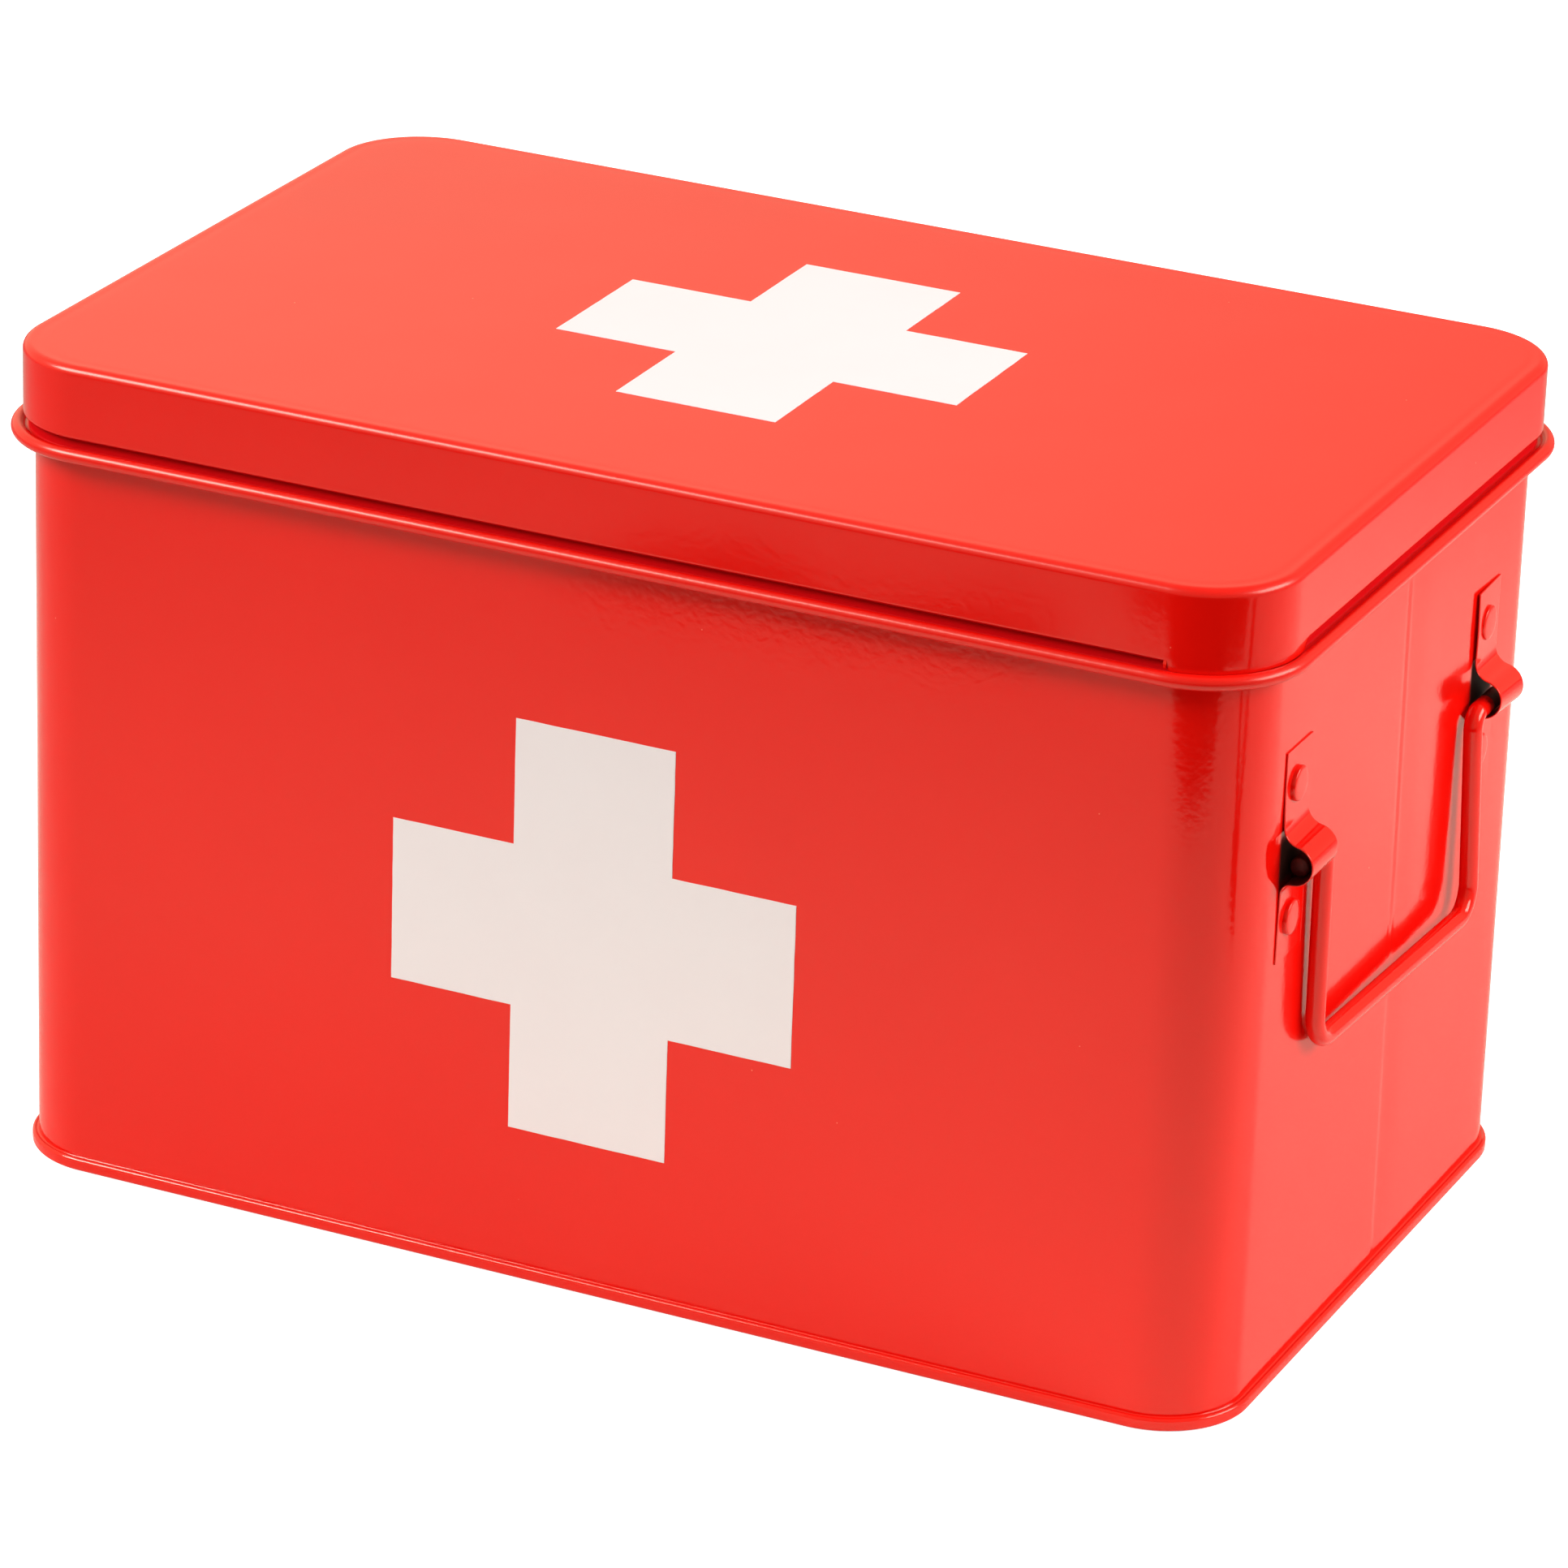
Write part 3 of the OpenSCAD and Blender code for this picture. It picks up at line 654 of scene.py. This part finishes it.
# ---- Rivets ----
# Eight solid steel rivets, pressed flat outside and set inside the box before the coat went on.
rivet_tree = bpy.data.node_groups.new("pressed_rivets", "GeometryNodeTree")
for label, kind in (("Geometry", "NodeSocketGeometry"), ("Head radius", "NodeSocketFloat"),
                    ("Head thickness", "NodeSocketFloat"), ("Edge squareness", "NodeSocketFloat"),
                    ("Size spread", "NodeSocketFloat"), ("Coat", "NodeSocketMaterial")):
    rivet_tree.interface.new_socket(name=label, in_out="INPUT", socket_type=kind)
rivet_tree.interface.new_socket(name="Geometry", in_out="OUTPUT", socket_type="NodeSocketGeometry")
given = add(rivet_tree, "NodeGroupInput").outputs
# a grid is wrapped into a button: one way runs over the head, the other round it
grid = add(rivet_tree, "GeometryNodeMeshGrid", Size_X=1.0, Size_Y=1.0,
           Vertices_X=25, Vertices_Y=49)
at = add(rivet_tree, "GeometryNodeInputPosition").outputs[0]
at = add(rivet_tree, "ShaderNodeSeparateXYZ", Vector=at)
over = add(rivet_tree, "ShaderNodeMapRange", Value=at.outputs[0],
           From_Min=-0.5, From_Max=0.5, To_Min=0.0, To_Max=math.pi)
round_it = add(rivet_tree, "ShaderNodeMapRange", Value=at.outputs[1],
               From_Min=-0.5, From_Max=0.5, To_Min=0.0, To_Max=2 * math.pi)


def swell(trig, across):
    """A squared-off circle: the sine or cosine raised to two over the edge's squareness."""
    wave = add(rivet_tree, "ShaderNodeMath", {"operation": trig}, in0=over.outputs[0])
    power = add(rivet_tree, "ShaderNodeMath", {"operation": "DIVIDE"},
                in0=2.0, in1=given["Edge squareness"])
    size = add(rivet_tree, "ShaderNodeMath", {"operation": "ABSOLUTE"}, in0=wave.outputs[0])
    size = add(rivet_tree, "ShaderNodeMath", {"operation": "POWER"},
               in0=size.outputs[0], in1=power.outputs[0])
    sign = add(rivet_tree, "ShaderNodeMath", {"operation": "SIGN"}, in0=wave.outputs[0])
    size = add(rivet_tree, "ShaderNodeMath", {"operation": "MULTIPLY"},
               in0=size.outputs[0], in1=sign.outputs[0])
    size = add(rivet_tree, "ShaderNodeMath", {"operation": "MULTIPLY"},
               in0=size.outputs[0], in1=across)
    return size.outputs[0]


radius, height = swell("SINE", given["Head radius"]), swell("COSINE", given["Head thickness"])
turned = []
for trig in ("COSINE", "SINE"):
    wave = add(rivet_tree, "ShaderNodeMath", {"operation": trig}, in0=round_it.outputs[0])
    turned.append(add(rivet_tree, "ShaderNodeMath", {"operation": "MULTIPLY"},
                      in0=wave.outputs[0], in1=radius).outputs[0])
button_place = add(rivet_tree, "ShaderNodeCombineXYZ", X=turned[0], Y=turned[1], Z=height)
button = add(rivet_tree, "GeometryNodeSetPosition", Geometry=grid.outputs[0],
             Position=button_place.outputs[0])
button = add(rivet_tree, "GeometryNodeMergeByDistance", Geometry=button.outputs[0],
             Distance=0.00001)
# a button on every point, turned to its way out and a little smaller or larger
way = add(rivet_tree, "GeometryNodeInputNamedAttribute", {"data_type": "FLOAT_VECTOR"},
          Name="way_out")
facing = add(rivet_tree, "FunctionNodeAlignRotationToVector", {"axis": "Z"},
             Vector=way.outputs[0])
smaller = add(rivet_tree, "ShaderNodeMath", {"operation": "SUBTRACT"},
              in0=1.0, in1=given["Size spread"])
scale = add(rivet_tree, "FunctionNodeRandomValue", {"data_type": "FLOAT"},
            in2=smaller.outputs[0], in3=1.0, Seed=4)
heads = add(rivet_tree, "GeometryNodeInstanceOnPoints", Points=given["Geometry"],
            Instance=button.outputs[0], Rotation=facing.outputs[0], Scale=scale.outputs[1])
solid = add(rivet_tree, "GeometryNodeRealizeInstances", Geometry=heads.outputs[0])
coated = add(rivet_tree, "GeometryNodeSetMaterial", Geometry=solid.outputs[0],
             Material=given["Coat"])
add(rivet_tree, "NodeGroupOutput", Geometry=coated.outputs[0])

rivet_coat = gloss_powder_coat("gloss_red_powder_coat_on_rivets")
rivet_names = [n for n in frame["nodes"] if n.endswith("rivet")]


def pressed_rivets(name, outside, radius, thick, square):
    """Puts a head on one side of the wall at the middle of every packed rivet, as plain mesh."""
    places, ways = [], []
    for rivet in rivet_names:
        low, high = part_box(rivet)
        middle, sign = (low + high) / 2, 1 if low.x > 0 else -1
        face = half_x + strap_t if outside else half_x - tin
        places.append((sign * face, middle.y, middle.z))
        ways.append(sign if outside else -sign)
    mesh = bpy.data.meshes.new(name)
    mesh.from_pydata(places, [], [])
    mesh.attributes.new("way_out", "FLOAT_VECTOR", "POINT").data.foreach_set(
        "vector", [c for w in ways for c in (w, 0, 0)])
    seed_points = bpy.data.objects.new(name + "_points", mesh)
    scene.collection.objects.link(seed_points)
    press = seed_points.modifiers.new("press", "NODES")
    press.node_group = rivet_tree
    values = {"Head radius": radius, "Head thickness": thick, "Edge squareness": square,
              "Size spread": 0.03, "Coat": rivet_coat}
    for item in rivet_tree.interface.items_tree:
        if item.in_out == "INPUT" and item.name in values:
            press[item.identifier] = values[item.name]
    bpy.context.view_layer.update()
    pressed = seed_points.evaluated_get(bpy.context.evaluated_depsgraph_get())
    made = bpy.data.meshes.new_from_object(pressed)
    bpy.data.objects.remove(seed_points)
    return made


def join_meshes(meshes):
    """The vertices and faces of several meshes, as of one."""
    verts, faces = [], []
    for mesh in meshes:
        faces += [tuple(len(verts) + i for i in face.vertices) for face in mesh.polygons]
        verts += [tuple(v.co) for v in mesh.vertices]
    return verts, faces


heads = pressed_rivets("outer_heads", True, 4.2 * mm, 1.2 * mm, 7.0)
sets = pressed_rivets("set_heads", False, 3.5 * mm, 0.9 * mm, 5.0)
make_piece("pressed_rivet_heads", [join_meshes([heads, sets])], rivet_coat, "box", rivet_names,
           crease=60)

# ---- Handles ----
# Two bails bent cold from 4.5 mm steel rod. Their ends sit loose in the loops, and a bail hangs
# with one leg against the wall, the other a little off it, and both a little aslant.
rod_r, drop, leg_y, end_y = 2.25 * mm, 49.7 * mm, 46.6 * mm, 61.75 * mm
pivot_bend, grip_bend = 4.0 * mm, 7.5 * mm
handle_coat = gloss_powder_coat("gloss_red_powder_coat_on_handles", peel_um=10)


def bail_line(seat, near_out, far_out, lean):
    """Middle line of a bail about its pivots' middle, as (out, along, up). Seat is how far its ends
    have settled towards the wall, the outs how far its lower corners stand off, and lean how far
    they have gone along the wall."""
    half = [(-end_y + (end_y - leg_y - pivot_bend) * i / 3, 0) for i in range(4)]
    half += [(-leg_y - pivot_bend * (1 - math.sin(a)), -pivot_bend * (1 - math.cos(a)))
             for a in (math.pi / 2 * i / 10 for i in range(1, 11))]
    half += [(-leg_y, -pivot_bend - (drop - pivot_bend - grip_bend) * i / 8) for i in range(1, 9)]
    half += [(-leg_y + grip_bend * (1 - math.cos(a)), -drop + grip_bend * (1 - math.sin(a)))
             for a in (math.pi / 2 * i / 12 for i in range(1, 13))]
    grip = [(leg_y * i / 6 * 0.8, -drop) for i in range(-5, 6)]
    flat = half + grip + [(-y, z) for y, z in reversed(half)]
    line = []
    for y, z in flat:
        low, far_share = -z / drop, min(1, max(0, 0.5 + y / (2 * leg_y)))
        stand = seat + low * (near_out + (far_out - near_out) * far_share - seat)
        line.append((stand, y + lean * low, z))
    return line


def bail_piece(name, sign, line):
    """A bail on the right wall (1) or the left one (-1), swept along its middle line."""
    joint = next(j for j in frame["joints"] if j["name"] == name + "_swing")
    pivot, along = Vector(joint["pos_m"]), -Vector(joint["axis"]).normalized()
    out = Vector((sign, 0, 0))
    upwards = out.cross(along)
    line = [pivot + out * x + along * y + upwards * z for x, y, z in line]
    sides, verts, faces = 28, [], []
    last = len(line) - 1
    # the cut ends are chamfered: a smaller ring stands a little beyond each
    chamfer, cut = 0.35 * mm, 0.86
    steps = [(0, -chamfer, cut)] + [(i, 0, 1) for i in range(last + 1)] + [(last, chamfer, cut)]
    for i, beyond, shrink in steps:
        run = (line[min(i + 1, last)] - line[max(i - 1, 0)]).normalized()
        a = run.cross(out).normalized()
        b = a.cross(run).normalized()
        for s in range(sides):
            t = 2 * math.pi * s / sides
            round_it = (a * math.cos(t) + b * math.sin(t)) * rod_r * shrink
            verts.append(tuple(line[i] + run * beyond + round_it))
    rings = last + 3
    for k in range(rings - 1):
        for s in range(sides):
            faces.append((k * sides + s, (k + 1) * sides + s, (k + 1) * sides + (s + 1) % sides,
                          k * sides + (s + 1) % sides))
    # the last 8 mm at each end sit in a loop, and are painted dark with the same shade as its
    # inside
    in_loop = 3 * sides
    loop_shade_faces = [i for i in range(len(faces)) if i < in_loop or i >= len(faces) - in_loop]
    loop_shade_faces += [len(faces), len(faces) + 1]
    faces += [tuple(range(sides)), tuple(reversed(range((rings - 1) * sides, rings * sides)))]
    make_piece(name.replace("handle", "bail_handle"), [(verts, faces)], handle_coat, name,
               [name], 50, loop_shade_material, loop_shade_faces)


bail_piece("right_handle", 1, bail_line(-0.28 * mm, -0.65 * mm, 1.1 * mm, 3.1 * mm))
bail_piece("left_handle", -1, bail_line(-0.1 * mm, 0.2 * mm, 0.9 * mm, 0.8 * mm))
